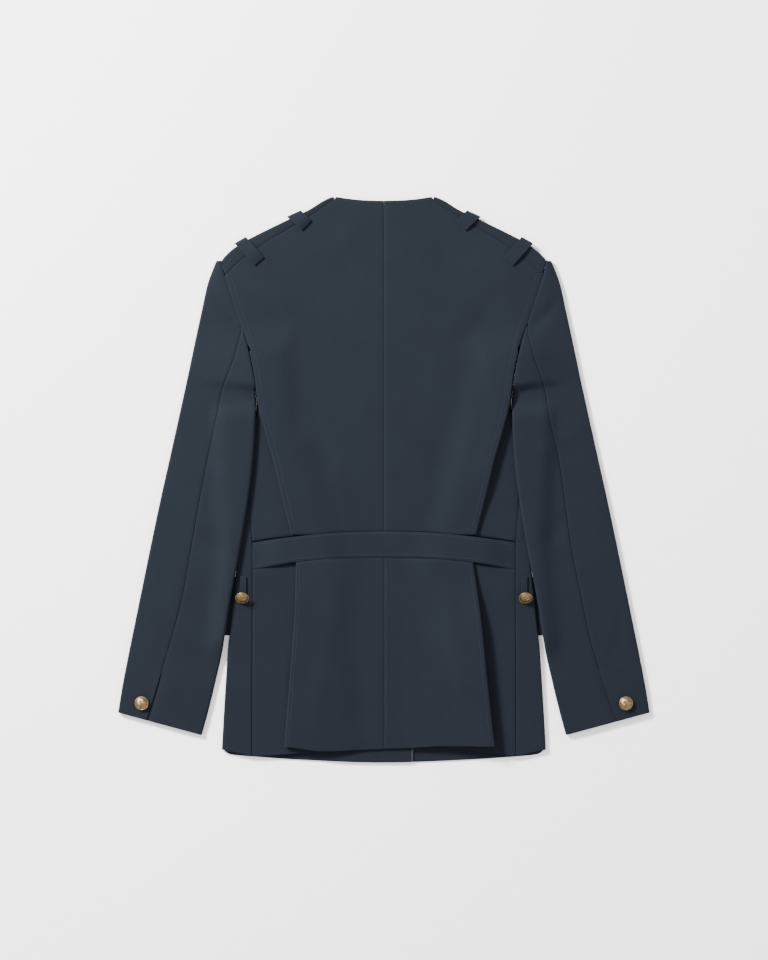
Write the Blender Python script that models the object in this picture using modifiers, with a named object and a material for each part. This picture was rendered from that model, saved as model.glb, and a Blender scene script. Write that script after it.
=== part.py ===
"""A navy military jacket, laid flat on its front, seen from the back.

Millimetres in the tables, metres in the model. X runs across from the centre back seam, Y from hem
to neck, Z up from the surface that the jacket lies on. Each table gives one side; the other mirrors it.
"""

import math
from collections import namedtuple

import bmesh
import bpy
from mathutils import Vector

MM = 0.001
WALL = 1.8          # lined wool cloth
GAP = 0.3           # between pieces at a seam and between layers
LAYER = WALL + GAP
FLOOR = WALL / 2    # middle of the cloth that lies on the surface
SIDE = 5.4          # middle of the side backs and of the fronts where they roll onto the back
FOLD_RADIUS = 1.3   # of a pleat's turned edge, to the middle of the cloth
TOP = SIDE + LAYER + 2 * FOLD_RADIUS + 0.1   # middle of the centre back, over its pleats
RETURN = 14.0       # how far a pleat's edge is turned under
UNDERLAY = 40.0     # how far a side piece reaches under the pleat beside it
SAG = 4.0           # how far the back sinks onto the fronts between its pleats
OVERLAP = 35.1      # how far each front passes the centre
PLEAT_TOP = 172.0   # height where the action pleat ends and the back is sewn to the sleeve
SEAM_REACH = 0.4    # how far past its line the back runs where it is sewn to the sleeve

Line = namedtuple("Line", "out y")
Rung = namedtuple("Rung", "outer_x outer_y inner_x inner_y thick seam_left seam_right")

# The armhole seam, which runs on down as the fold of the action pleat.
ARMHOLE = [Line(207, 266), Line(203, 256), Line(195.5, 231), Line(186, 205), Line(178, 180),
           Line(169.8, 142), Line(163.5, 98), Line(154, 61), Line(142.8, 21), Line(134.2, -16),
           Line(120.4, -71.5)]
BACK_NECK = [Line(0, 362.7), Line(26, 363.5), Line(46, 365.4), Line(58.5, 367)]
SHOULDER_SEAM = [Line(62.4, 361.6), Line(100, 340.5), Line(150, 311), Line(185, 286), Line(206.4, 266)]
SHOULDER_EDGE = [Line(66, 368.4), Line(75, 365.9), Line(82, 361.5), Line(99, 350.6), Line(120, 341),
                 Line(154, 324.6), Line(176, 313.5), Line(193, 303.6), Line(206, 293), Line(213.5, 283)]
FRONT_NECK = [Line(-OVERLAP, 232), Line(0, 262), Line(40, 303), Line(60, 345), Line(66, 368.4)]
FRONT_ARMHOLE = [Line(196.5, 58), Line(182, 62), Line(167, 74), Line(160.5, 98), Line(166, 142),
                 Line(175, 180), Line(192.5, 231), Line(203, 262), Line(213.5, 283)]
SIDE_FOLD = [Line(211.2, -352), Line(208, -294), Line(205, -248), Line(203, -217), Line(200.8, -201),
             Line(196, -157), Line(192, -118), Line(190.5, -85), Line(191.7, -40), Line(195, 12),
             Line(196.5, 58)]
SIDE_SEAM = [Line(171.6, -360), Line(171.3, -222), Line(171.2, -117), Line(171.6, -80), Line(178.7, 0),
             Line(188, 58)]
# The side back's upper edge, under the pleat and then beside the sleeve.
SIDE_BACK_TOP = [Line(148, 110), Line(158, 112), Line(164.6, 102), Line(165.6, 88), Line(169.5, 76),
                 Line(177, 66), Line(188 - GAP / 2, 58)]
FRONT_HEM = [Line(-OVERLAP, -368.2), Line(0, -368.6), Line(36, -368.2), Line(68, -367), Line(99, -365.6),
             Line(130, -363.9), Line(161, -361.8), Line(195, -359), Line(207, -356.5), Line(211.2, -352)]
BAND_TOP = [Line(0, -67), Line(52, -68.2), Line(93, -71.5), Line(132, -76), Line(171, -82)]
BAND_FOOT = [Line(0, -101.4), Line(68, -103), Line(116, -107.5), Line(146, -112.5), Line(171, -118)]
SKIRT_FOLD = {-1: [Line(114.4, -107), Line(116.4, -180), Line(122.5, -261), Line(129.6, -347)],
              1: [Line(116.5, -107.5), Line(125.6, -174), Line(131, -225), Line(134.5, -261), Line(143.9, -346)]}
BACK_HEM = {-1: [Line(0, -350.3), Line(40, -352), Line(83, -352.8), Line(129.6, -347)],
            1: [Line(0, -350.3), Line(32, -349.2), Line(75, -346.4), Line(143.9, -346)]}
SIDE_HEM = {-1: [Line(83, -353.6), Line(132, -357.8), Line(171.6, -360)],
            1: [Line(75, -346.2), Line(132, -355), Line(171.6, -360)]}

# A sleeve is a ladder of rungs from its outer to its inner edge, shoulder first; the seams are
# fractions of a rung from the outer edge.
SLEEVE = [Rung(218.8, 283.2, 214.4, 281.6, 5.2, 1, 1), Rung(225.2, 267.2, 208.2, 266.0, 5.4, 1, 1),
          Rung(230.4, 251.6, 201.6, 247.7, 5.6, 1, 1), Rung(237.2, 220.3, 191.4, 216.5, 5.8, 1, 1),
          Rung(245.4, 182.7, 178.6, 177.5, 5.8, .83, .83), Rung(255.8, 133.2, 167.6, 121.5, 5.8, .55, .56),
          Rung(266.9, 82.5, 166.8, 73.5, 5.8, .483, .517), Rung(278.7, 29.2, 170.8, 15.0, 5.8, .448, .47),
          Rung(290.8, -24.7, 178.9, -44.9, 5.8, .443, .49), Rung(302.5, -80.0, 189.2, -104.7, 5.8, .452, .513),
          Rung(314.2, -137.2, 200.6, -164.5, 5.8, .461, .51), Rung(324.6, -187.8, 208.7, -217.1, 5.6, .43, .497),
          Rung(333.2, -230.1, 217.8, -258.1, 5.4, .40, .472), Rung(340.3, -267.2, 228.2, -300.9, 5.2, .374, .436),
          Rung(346.2, -303.2, 236.9, -332.8, 5.0, .34, .381)]
UNDER_SEAM = 0.55       # the sleeve's seam on the hidden side
CAP_RUNGS = 5           # the rungs on which the sleeve is open towards the armhole
FIRST_UNDER = 3.5       # the rung where the under sleeve starts at the armhole
EDGE_SHARE = 0.7        # how full the sleeve is at its rounded edges, against its middle

Strap = namedtuple("Strap", "name foot_x foot_y edge_x edge_y width")
STRAPS = [Strap("inner", 100, 330, 114.5, 343.6, 18), Strap("outer", 161.5, 283, 184.6, 309.0, 16.6)]
STRAP_UNDER = 28.0      # how far a loop runs on under the front

FLAP_TOP, FLAP_FOOT = -127.0, -203.0
FLAP_INNER, FLAP_OUTER_TOP, FLAP_OUTER_FOOT = 96.0, 190.0, 209.0
TAB_X, TAB_TOP, TAB_FOOT, TAB_WIDTH = 182.7, -126.0, -152.0, 8.0
SIDE_BUTTON = (184.0, -152.0)
SIDE_BUTTON_TILT = 38.0
CUFF_BUTTON_RUNG, CUFF_BUTTON_SHARE = 13.42, 0.25


def smoothstep(t):
    t = min(1.0, max(0.0, t))
    return t * t * (3 - 2 * t)


def spline(points, t):
    """A smooth curve through the points, t from 0 to 1 point by point."""
    place = min(max(t, 0.0), 1.0) * (len(points) - 1)
    i = min(int(place), len(points) - 2)
    f = place - i
    b, c = Vector(points[i]), Vector(points[i + 1])
    a = Vector(points[i - 1]) if i else b * 2 - c
    d = Vector(points[i + 2]) if i + 2 < len(points) else c * 2 - b
    return ((b * 2) + (c - a) * f + (a * 2 - b * 5 + c * 4 - d) * f ** 2
            + (b * 3 - a - c * 3 + d) * f ** 3) * 0.5


def along(points, count):
    """count + 1 points at even distances along the smooth curve."""
    fine = [spline(points, i / 240) for i in range(241)]
    run = [0.0]
    for p, q in zip(fine, fine[1:]):
        run.append(run[-1] + (q - p).length)
    result, j = [], 0
    for i in range(count + 1):
        goal = run[-1] * i / count
        while j < len(run) - 2 and run[j + 1] < goal:
            j += 1
        share = (goal - run[j]) / max(run[j + 1] - run[j], 1e-9)
        result.append(fine[j].lerp(fine[j + 1], min(max(share, 0.0), 1.0)))
    return result


def out_at(line, y):
    """How far out a line is at a height y, for lines that run steadily up or down."""
    rows = sorted(line, key=lambda row: row.y)
    if y <= rows[0].y:
        return rows[0].out
    for low, high in zip(rows, rows[1:]):
        if y <= high.y:
            return low.out + (high.out - low.out) * (y - low.y) / (high.y - low.y)
    return rows[-1].out


def shoulder_y(out):
    """The height of the shoulder's edge at a distance from the centre."""
    return out_at([Line(y, x) for x, y in SHOULDER_EDGE], out)


def fill(bottom, top, left, right):
    """A grid of points, row by row from bottom to top, whose edges are the four given rows of points."""
    across, up = len(bottom) - 1, len(left) - 1
    grid = []
    for j in range(up + 1):
        v, row = j / up, []
        for i in range(across + 1):
            u = i / across
            corners = (bottom[0] * (1 - u) + bottom[-1] * u) * (1 - v) + (top[0] * (1 - u) + top[-1] * u) * v
            row.append(bottom[i] * (1 - v) + top[i] * v + left[j] * (1 - u) + right[j] * u - corners)
        grid.append(row)
    return grid


def front_height(side, out, y):
    """Middle of a front's cloth where it faces the surface: over its flap, its loops or the other front."""
    rise = smoothstep((y - shoulder_y(out) + 92) / 26) * smoothstep((out - 40) / 25)
    over_flap = smoothstep((out - 44) / 26) * smoothstep((-58 - y) / 24) * smoothstep((y + 272) / 24)
    rise = max(rise, over_flap)
    if side < 0:
        rise = max(rise, min(1.0, max(0.0, (85 - out) / 30)))
    return FLOOR + LAYER * rise


def top_height(side, out, y):
    """Middle of the centre back's cloth: a pad at the shoulder, and pleats that stand open a little."""
    pad = 2.4 * smoothstep(1 - math.hypot(out - 178, y - 262) / 105)
    action = 4.5 if side > 0 else 1.6
    reach = out_at(ARMHOLE, y) - out
    sag = SAG * max(smoothstep((reach - 30) / 45), smoothstep((y - 150) / 60))
    lift = action * smoothstep(1 - reach / 60) * smoothstep((y + 60) / 80) * smoothstep((215 - y) / 60)
    return TOP + pad + lift - sag


def skirt_height(side, out, y):
    """Middle of the back skirt's cloth; the right pleat stands open, the left one nearly shut."""
    opening = 9.0 if side > 0 else 1.4
    reach = out_at(SKIRT_FOLD[side], y) - out
    sag = SAG * smoothstep((70 - out) / 50)
    return TOP - sag + opening * smoothstep(1 - reach / 75) * smoothstep((-110 - y) / 95)


def sleeve_rest(out, y):
    """How far the sleeve is held up by the side of the body that it lies on."""
    beside = smoothstep(1 - (out - out_at(SIDE_FOLD, y) - 7) / 26)
    ends = smoothstep((105 - y) / 24) * smoothstep((y + 240) / 36)
    return (SIDE + WALL / 2 + GAP + 0.2) * beside * ends


def material(name, colour, roughness, metallic=0.0):
    finish = bpy.data.materials.new(name)
    finish.use_nodes = True
    shader = finish.node_tree.nodes["Principled BSDF"]
    shader.inputs["Base Color"].default_value = (*colour, 1)
    shader.inputs["Roughness"].default_value = roughness
    shader.inputs["Metallic"].default_value = metallic
    return finish


def place(collection, name, mesh, finish):
    piece = bpy.data.objects.new(name, mesh)
    collection.objects.link(piece)
    mesh.materials.append(finish)
    return piece


def cloth(collection, name, grid, finish, keep=lambda i, j: True):
    """An open sheet through a grid of points in millimetres, thickened to the cloth's wall."""
    shape = bmesh.new()
    made = {}

    def corner(j, i):
        if (j, i) not in made:
            made[j, i] = shape.verts.new(Vector(grid[j][i]) * MM)
        return made[j, i]

    for j in range(len(grid) - 1):
        for i in range(len(grid[0]) - 1):
            if keep(i, j):
                shape.faces.new((corner(j, i), corner(j, i + 1), corner(j + 1, i + 1), corner(j + 1, i)))
    bmesh.ops.recalc_face_normals(shape, faces=shape.faces)
    mesh = bpy.data.meshes.new(name)
    shape.to_mesh(mesh)
    shape.free()
    mesh.shade_smooth()
    mesh.set_sharp_from_angle(angle=math.radians(50))
    piece = place(collection, name, mesh, finish)
    wall = piece.modifiers.new("wall", "SOLIDIFY")
    wall.thickness = WALL * MM
    wall.offset = 0
    wall.use_even_offset = True
    return piece


def hand(side):
    return "left" if side < 0 else "right"


def turned_under(points):
    """A row's further points, where the pleat's edge rolls under and runs back beneath the panel."""
    inward = (points[-2] - points[-1]).normalized()
    middle = points[-1] - Vector((0, 0, FOLD_RADIUS))
    rolled = [middle - inward * FOLD_RADIUS * math.sin(a) + Vector((0, 0, FOLD_RADIUS * math.cos(a)))
              for a in (math.pi * k / 4 for k in range(1, 5))]
    return rolled + [rolled[-1] + inward * RETURN * k / 2 for k in (1, 2)]


def back_panel(collection, side, finish):
    across_neck, across_shoulder, up = 4, 7, 15
    inset = FOLD_RADIUS + WALL / 2
    fold = [Line(row.out - inset + (inset + SEAM_REACH) * smoothstep((row.y - PLEAT_TOP) / 22), row.y)
            for row in reversed(ARMHOLE)]
    foot = [Line(p.out, p.y + GAP) for p in BAND_TOP[:3]] + [fold[0]]
    top = along(BACK_NECK, across_neck) + along(SHOULDER_SEAM, across_shoulder - 1)
    top = [p - Vector((0, 0.4 * (i > 0))) for i, p in enumerate(top)]
    right = along(fold, up)
    right[-1] = top[-1]
    left = [Vector((GAP / 2, foot[0].y + (top[0].y - foot[0].y) * j / up)) for j in range(up + 1)]
    bottom = along(foot, across_neck + across_shoulder)
    left[0], left[-1] = bottom[0], top[0]
    flat = fill(bottom, top, left, right)
    grid = []
    for row in flat:
        points = [Vector((side * max(p.x, GAP / 2), p.y, top_height(side, p.x, p.y))) for p in row]
        grid.append(points + turned_under(points))
    seam = across_neck + across_shoulder
    pleat_rows = sum(1 for p in right if p.y < PLEAT_TOP)
    return cloth(collection, "back_" + hand(side), grid, finish, lambda i, j: i < seam or j < pleat_rows - 1)


def side_back(collection, side, finish):
    up, across = 9, 8
    inner = along([Line(out_at(ARMHOLE, y) - UNDERLAY * 0.55, y) for y in (-72, -16, 40, 80, 110)], up)
    outer = along([Line(row.out - GAP / 2, row.y) for row in SIDE_SEAM[3:]], up)
    bottom = along([Line(inner[0].x, -72.6), Line(132, -75.4), Line(outer[0].x, -81.5)], across)
    top = along(SIDE_BACK_TOP, across)
    inner[0], outer[0], inner[-1], outer[-1] = bottom[0], bottom[-1], top[0], top[-1]
    grid = [[Vector((side * p.x, p.y, SIDE)) for p in row] for row in fill(bottom, top, inner, outer)]
    return cloth(collection, "side_back_" + hand(side), grid, finish)


def band_height(out):
    return SIDE + (TOP - SIDE) * smoothstep((170 - out) / 42) - SAG * smoothstep((82 - out) / 45)


def waistband(collection, finish):
    across, up = 14, 2
    half = []
    for i in range(across + 1):
        head, foot = along(BAND_TOP, across)[i], along(BAND_FOOT, across)[i]
        half.append([head.lerp(foot, j / up) for j in range(up + 1)])
    grid = []
    for j in range(up + 1):
        row = []
        for i in list(range(across, 0, -1)) + list(range(across + 1)):
            p = half[i][j]
            side = -1 if len(row) < across else 1
            out = min(p.x, 171 - 2 * GAP)
            row.append(Vector((side * out, p.y + (GAP, 0, -GAP)[j] * -0.5, band_height(out))))
        grid.append(row)
    return cloth(collection, "waistband", grid, finish)


def skirt_back(collection, side, finish):
    across, up = 8, 10
    inset = FOLD_RADIUS + WALL / 2
    fold = along([Line(row.out - inset, row.y) for row in reversed(SKIRT_FOLD[side])], up)
    hem = [Vector((p.out - inset * p.out / 130, p.y)) for p in BACK_HEM[side]]
    bottom = along(hem, across)
    head = [Line(GAP / 2, -101.4 - GAP), Line(68, -103.3 - GAP), Line(fold[-1].x, -107.8 - GAP)]
    top = along(head, across)
    left = [Vector((GAP / 2, bottom[0].y + (top[0].y - bottom[0].y) * j / up)) for j in range(up + 1)]
    fold[0], fold[-1] = bottom[-1], top[-1]
    grid = []
    for row in fill(bottom, top, left, fold):
        points = [Vector((side * max(p.x, GAP / 2), p.y, skirt_height(side, p.x, p.y))) for p in row]
        grid.append(points + turned_under(points))
    return cloth(collection, "skirt_back_" + hand(side), grid, finish)


def skirt_side(collection, side, finish):
    across, up = 7, 10
    bottom = along([Line(p.out - GAP / 2, p.y) for p in SIDE_HEM[side]], across)
    inner_top = SKIRT_FOLD[side][0].out - UNDERLAY
    top = along([Line(inner_top, -103.8 - GAP), Line(116, -107.8 - GAP), Line(146, -112.8 - GAP),
                 Line(170.6 - GAP / 2, -118 - GAP)], across)
    outer = along([Line(row.out - GAP / 2, row.y) for row in SIDE_SEAM[:3]], up)
    inner = along([bottom[0], top[0]], up)
    outer[0], outer[-1] = bottom[-1], top[-1]
    grid = [[Vector((side * p.x, p.y, SIDE)) for p in row] for row in fill(bottom, top, inner, outer)]
    return cloth(collection, "skirt_side_" + hand(side), grid, finish)


def front_panel(collection, side, finish):
    """One front: flat from the centre, rolled round the side to the side seam and over the shoulder."""
    across_neck, across_shoulder, low, high, arc = 5, 6, 11, 8, 4
    across = across_neck + across_shoulder
    edge = WALL / 2
    hem = along(FRONT_HEM, across)
    side_line = along([Line(row.out - edge, row.y) for row in SIDE_FOLD], low)
    chest_y = SIDE_FOLD[-1].y
    chest = [Vector((-OVERLAP + (side_line[-1].x + OVERLAP) * i / across, chest_y)) for i in range(across + 1)]
    centre_low = [Vector((-OVERLAP, hem[0].y + (chest_y - hem[0].y) * j / low)) for j in range(low + 1)]
    hem[-1] = side_line[0]
    lower = fill(hem, chest, centre_low, side_line)
    neck = along(FRONT_NECK, across_neck)
    shoulder = along(SHOULDER_EDGE, across_shoulder)
    top = neck + shoulder[1:]
    armhole = along([Line(row.out - edge, row.y) for row in FRONT_ARMHOLE], high)
    armhole[0], armhole[-1] = chest[-1], top[-1]
    centre_high = [Vector((-OVERLAP, chest_y + (neck[0].y - chest_y) * j / high)) for j in range(high + 1)]
    upper = fill(chest, top, centre_high, armhole)
    rows = [list(row) for row in lower] + [list(row) for row in upper[1:]]
    grid = [[Vector((side * p.x, p.y, front_height(side, p.x, p.y))) for p in row] for row in rows]

    seam = along([Line(row.out + GAP, row.y) for row in SIDE_SEAM], low)
    for j, row in enumerate(grid):
        last = row[-1]
        if j > low:
            row.extend([last] * (arc + 2))
            continue
        radius = (SIDE - last.z) / 2
        centre = Vector((last.x - side * radius, last.y, last.z + radius))
        row[-1] = Vector((centre.x, last.y, last.z))
        for k in range(1, arc + 1):
            a = math.pi * k / arc
            row.append(centre + Vector((side * radius * math.sin(a), 0, -radius * math.cos(a))))
        goal = Vector((side * seam[j].x, seam[j].y, SIDE))
        row.extend(row[-1].lerp(goal, k / 2) for k in (1, 2))

    outline = grid[-1][:]
    seam_line = [Vector((side * p.x, p.y)) for p in along(SHOULDER_SEAM, across_shoulder)]
    roll = [[p.copy() for p in outline] for k in range(arc + 2)]
    start = [p.copy() for p in outline]
    for i in range(across_neck, across + 1):
        edge_point = outline[i]
        target = seam_line[i - across_neck]
        away = Vector((side * 0.50, 0.866, 0))
        out = abs(edge_point.x)
        height = top_height(side, out, edge_point.y - 6)
        radius = (height - edge_point.z) / 2
        centre = edge_point - away * (radius + edge) + Vector((0, 0, radius))
        start[i] = Vector((centre.x, centre.y, edge_point.z))
        for k in range(1, arc + 1):
            a = math.pi * k / arc
            roll[k - 1][i] = centre + away * radius * math.sin(a) - Vector((0, 0, radius * math.cos(a)))
        for k in (1, 2):
            goal = Vector((target.x, target.y + 0.4, top_height(side, abs(target.x), target.y)))
            roll[arc - 1 + k][i] = roll[arc - 1][i].lerp(goal, k / 2)
    grid[-1] = start
    grid += roll
    body_rows = low + high
    return cloth(collection, "front_" + hand(side), grid, finish,
                 lambda i, j: (j < low or i < across) and (j < body_rows or across_neck <= i < across))


def spline_rung(place):
    """The sleeve's rung at a place along the ladder."""
    columns = list(zip(*SLEEVE))
    last = len(SLEEVE) - 1
    return Rung(*(spline([(v, 0) for v in column], place / last).x for column in columns))


def sleeve_point(side, place, turn):
    """A point of the sleeve's middle surface. turn is 0 at the outer edge, pi at the inner edge on the
    back, and runs on to two pi along the side that faces the surface."""
    rung = spline_rung(place)
    share = (1 - math.cos(turn)) / 2
    inset = WALL / 2
    span = Vector((rung.inner_x - rung.outer_x, rung.inner_y - rung.outer_y))
    unit = span.normalized()
    open_cap = place <= CAP_RUNGS
    start = Vector((rung.outer_x, rung.outer_y)) + unit * inset
    end = Vector((rung.inner_x, rung.inner_y)) - unit * (0.0 if open_cap else inset)
    p = start.lerp(end, share)
    low = FLOOR + sleeve_rest(p.x, p.y)
    thick = rung.thick
    if open_cap:
        near = smoothstep(share)
        low += near * (front_height(side, end.x, end.y) - FLOOR)
        head = top_height(side, end.x, end.y)
        thick = rung.thick * (1 - near) + (head - low) * near
    from_edge = share if share < 0.5 else 1 - share
    rounding = thick / 2 * EDGE_SHARE
    reach = min(1.0, from_edge * (end - start).length / rounding)
    fullness = math.sqrt(1 - (1 - reach) ** 2) * (EDGE_SHARE + (1 - EDGE_SHARE) * abs(math.sin(turn)))
    if open_cap and share > 0.5:
        fullness = 1.0
    middle = low + thick / 2
    upper = 1 if math.sin(turn) >= -1e-9 and turn <= math.pi + 1e-9 else -1
    return Vector((side * p.x, p.y, middle + upper * fullness * thick / 2))


def seam_turn(share):
    return math.acos(1 - 2 * min(1.0, max(0.0, share)))


def top_seam(side, place):
    if place < FIRST_UNDER:
        return 1.0
    if place == FIRST_UNDER:
        return 0.96
    rung = spline_rung(place)
    return rung.seam_left if side < 0 else rung.seam_right


def hidden_seam(place):
    return UNDER_SEAM + (1 - UNDER_SEAM) * smoothstep((6 - place) / 2)


LADDER = [k / 2 for k in range(14)] + list(range(7, len(SLEEVE)))


def top_sleeve(collection, side, finish):
    above, below = 9, 7
    grid = []
    for place in LADDER:
        reach = seam_turn(top_seam(side, place))
        rung = spline_rung(place)
        trim = GAP / 2 / max(20.0, rung.outer_x - rung.inner_x) * 4
        start = reach - (trim if place >= FIRST_UNDER else 0)
        end = seam_turn(hidden_seam(place)) - trim
        turns = [start * (1 - i / above) for i in range(above)]
        turns += [2 * math.pi - end * i / below for i in range(1, below + 1)]
        turns.insert(above, 0.0)
        grid.append([sleeve_point(side, place, turn) for turn in turns])
    return cloth(collection, "top_sleeve_" + hand(side), grid, finish)


def under_sleeve(collection, side, finish):
    above, below = 6, 6
    places = [place for place in LADDER if place >= FIRST_UNDER]
    grid = []
    for place in places:
        rung = spline_rung(place)
        trim = GAP / 2 / (rung.outer_x - rung.inner_x) * 4
        start = seam_turn(top_seam(side, place)) + trim
        end = seam_turn(hidden_seam(place)) + trim
        start = min(start, math.pi - 0.12)
        turns = [start + (math.pi - start) * i / above for i in range(above + 1)]
        turns += [math.pi + (math.pi - min(end, math.pi - 0.12)) * i / below for i in range(1, below + 1)]
        grid.append([sleeve_point(side, place, turn) for turn in turns])
    closed_from = places.index(CAP_RUNGS + 0.5)
    return cloth(collection, "under_sleeve_" + hand(side), grid, finish,
                 lambda i, j: i < above or j >= closed_from)


def shoulder_loop(collection, side, strap, finish):
    """A loop for a shoulder strap: sewn to the back, over the shoulder's edge and under the front."""
    foot, edge = Vector((strap.foot_x, strap.foot_y)), Vector((strap.edge_x, strap.edge_y))
    run = (edge - foot).normalized()
    cross = Vector((run.y, -run.x))
    arc, flat, under = 6, 6, 3
    grid = []
    for j in range(5):
        offset = cross * strap.width * (j / 4 - 0.5)
        a, b = foot + offset, edge + offset
        for step in range(3):
            b = b + run * (shoulder_y(b.x) - b.y)
        low = FLOOR
        height = top_height(side, b.x, b.y - 6) + LAYER + 0.2
        radius = (height - low) / 2
        centre = b - run * (radius - LAYER - 1.2)
        row = []
        for i in range(flat + 1):
            p = a.lerp(centre, i / flat)
            arch = 1.3 * math.sin(math.pi * i / flat)
            row.append(Vector((side * p.x, p.y, top_height(side, p.x, p.y) + LAYER + 0.2 + arch)))
        row[-1].z = height
        for k in range(1, arc + 1):
            turn = math.pi * k / arc
            p = centre + run * radius * math.sin(turn)
            row.append(Vector((side * p.x, p.y, low + radius + radius * math.cos(turn))))
        for i in range(1, under + 1):
            p = centre - run * STRAP_UNDER * i / under
            row.append(Vector((side * p.x, p.y, low)))
        grid.append(row)
    return cloth(collection, "loop_%s_%s" % (strap.name, hand(side)), grid, finish)


def pocket_flap(collection, side, finish):
    """A flap on the front, between it and the surface, whose corner shows past the side."""
    across, up = 6, 4
    grid = []
    for j in range(up + 1):
        v = j / up
        y = FLAP_FOOT + (FLAP_TOP - FLAP_FOOT) * v
        outer = FLAP_OUTER_FOOT + (FLAP_OUTER_TOP - FLAP_OUTER_FOOT) * v - (4.0 if j == 0 else 0.0)
        row = []
        for i in range(across + 1):
            out = FLAP_INNER + (outer - FLAP_INNER) * i / across
            row.append(Vector((side * out, y + (1.5 if j == 0 and i == across else 0), FLOOR)))
        grid.append(row)
    return cloth(collection, "flap_" + hand(side), grid, finish)


def button_tab(collection, side, finish):
    """A short tab on the front, just before the side seam, that the pocket's button is sewn through."""
    grid = [[Vector((side * (TAB_X + TAB_WIDTH * (i - 0.5)), TAB_FOOT + (TAB_TOP - TAB_FOOT) * j / 3,
                     SIDE + LAYER)) for i in (0, 1)] for j in range(4)]
    return cloth(collection, "button_tab_" + hand(side), grid, finish)


def edge_binding(collection, finish):
    """The pale binding on the edge of the left front, which lies over the right one."""
    rows = 16
    grid = []
    for j in range(rows + 1):
        y = -367.4 + (230.0 + 367.4) * j / rows
        grid.append([Vector((OVERLAP + GAP + x, y, FLOOR + LAYER)) for x in (0.0, 3.2)])
    return cloth(collection, "edge_binding", grid, finish)


def button(collection, name, seat, tilt, finish):
    """A domed metal button with a rolled rim on a short shank."""
    profile = [(0.0, 6.6), (2.4, 6.45), (4.6, 5.9), (6.4, 5.0), (7.5, 4.0), (7.7, 3.3), (8.6, 3.5),
               (9.0, 2.9), (8.7, 2.2), (7.4, 2.0), (2.2, 1.6), (2.2, 0.0), (0.0, 0.0)]
    mesh = bpy.data.meshes.new(name)
    verts = [(x * MM, 0, z * MM) for x, z in profile]
    mesh.from_pydata(verts, [(i, i + 1) for i in range(len(verts) - 1)], [])
    piece = place(collection, name, mesh, finish)
    piece.location = Vector(seat) * MM
    piece.rotation_euler = (math.radians(tilt), 0, 0)
    turn = piece.modifiers.new("turn", "SCREW")
    turn.angle = 2 * math.pi
    turn.steps = 16
    turn.render_steps = 16
    turn.use_merge_vertices = True
    turn.merge_threshold = 0.00001
    turn.use_smooth_shade = True
    return piece


def main():
    for old in list(bpy.data.objects):
        bpy.data.objects.remove(old, do_unlink=True)
    collection = bpy.data.collections.new("military_jacket")
    bpy.context.scene.collection.children.link(collection)
    navy = material("navy_wool", (0.022, 0.030, 0.050), 0.85)
    pale = material("pale_binding", (0.10, 0.12, 0.16), 0.8)
    brass = material("antique_brass", (0.42, 0.27, 0.11), 0.35, 1.0)

    waistband(collection, navy)
    for side in (-1, 1):
        back_panel(collection, side, navy)
        side_back(collection, side, navy)
        skirt_back(collection, side, navy)
        skirt_side(collection, side, navy)
        front_panel(collection, side, navy)
        top_sleeve(collection, side, navy)
        under_sleeve(collection, side, navy)
        for strap in STRAPS:
            shoulder_loop(collection, side, strap, navy)
        pocket_flap(collection, side, navy)
        button_tab(collection, side, navy)
        x, y = SIDE_BUTTON
        above_tab = SIDE + LAYER + WALL / 2 + 2 * GAP
        lean = 2.2 * math.sin(math.radians(SIDE_BUTTON_TILT))
        button(collection, "button_side_" + hand(side), (side * x, y, above_tab + lean), SIDE_BUTTON_TILT, brass)
        cuff = sleeve_point(side, CUFF_BUTTON_RUNG, seam_turn(CUFF_BUTTON_SHARE))
        button(collection, "button_cuff_" + hand(side), cuff + Vector((0, 0, WALL / 2 + 2 * GAP)), 0, brass)
    edge_binding(collection, pale)


main()
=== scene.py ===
import math
from collections import namedtuple

import bmesh
import bpy
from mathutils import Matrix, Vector


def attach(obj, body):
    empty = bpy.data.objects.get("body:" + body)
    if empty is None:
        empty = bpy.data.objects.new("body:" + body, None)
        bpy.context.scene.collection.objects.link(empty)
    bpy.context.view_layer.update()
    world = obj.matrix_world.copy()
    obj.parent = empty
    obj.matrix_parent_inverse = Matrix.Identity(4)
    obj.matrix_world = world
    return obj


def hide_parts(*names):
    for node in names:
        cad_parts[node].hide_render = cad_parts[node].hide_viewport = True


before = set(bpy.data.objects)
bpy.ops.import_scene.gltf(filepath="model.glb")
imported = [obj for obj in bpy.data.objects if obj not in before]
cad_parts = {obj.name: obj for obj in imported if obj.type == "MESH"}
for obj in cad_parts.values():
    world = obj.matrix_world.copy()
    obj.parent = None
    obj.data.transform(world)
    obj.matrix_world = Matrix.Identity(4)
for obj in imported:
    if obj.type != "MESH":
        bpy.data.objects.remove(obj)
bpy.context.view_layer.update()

# The camera looks straight down on the jacket's back from three metres. One pixel of the 768 by 960
# picture is 1.3 mm of cloth, and the neck is at the top.
PIXEL = 0.0013
PICTURE_HEIGHT = 960
SENSOR = 36
CAMERA_HEIGHT = 3.0
CLOTH_HEIGHT = 0.008
camera_data = bpy.data.cameras.new("overhead")
camera_data.sensor_width = SENSOR
camera_data.lens = SENSOR * (CAMERA_HEIGHT - CLOTH_HEIGHT) / (PICTURE_HEIGHT * PIXEL)
camera = bpy.data.objects.new("overhead", camera_data)
camera.location = (0.0002, -0.0006, CAMERA_HEIGHT)
bpy.context.scene.collection.objects.link(camera)
bpy.context.scene.camera = camera

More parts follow.
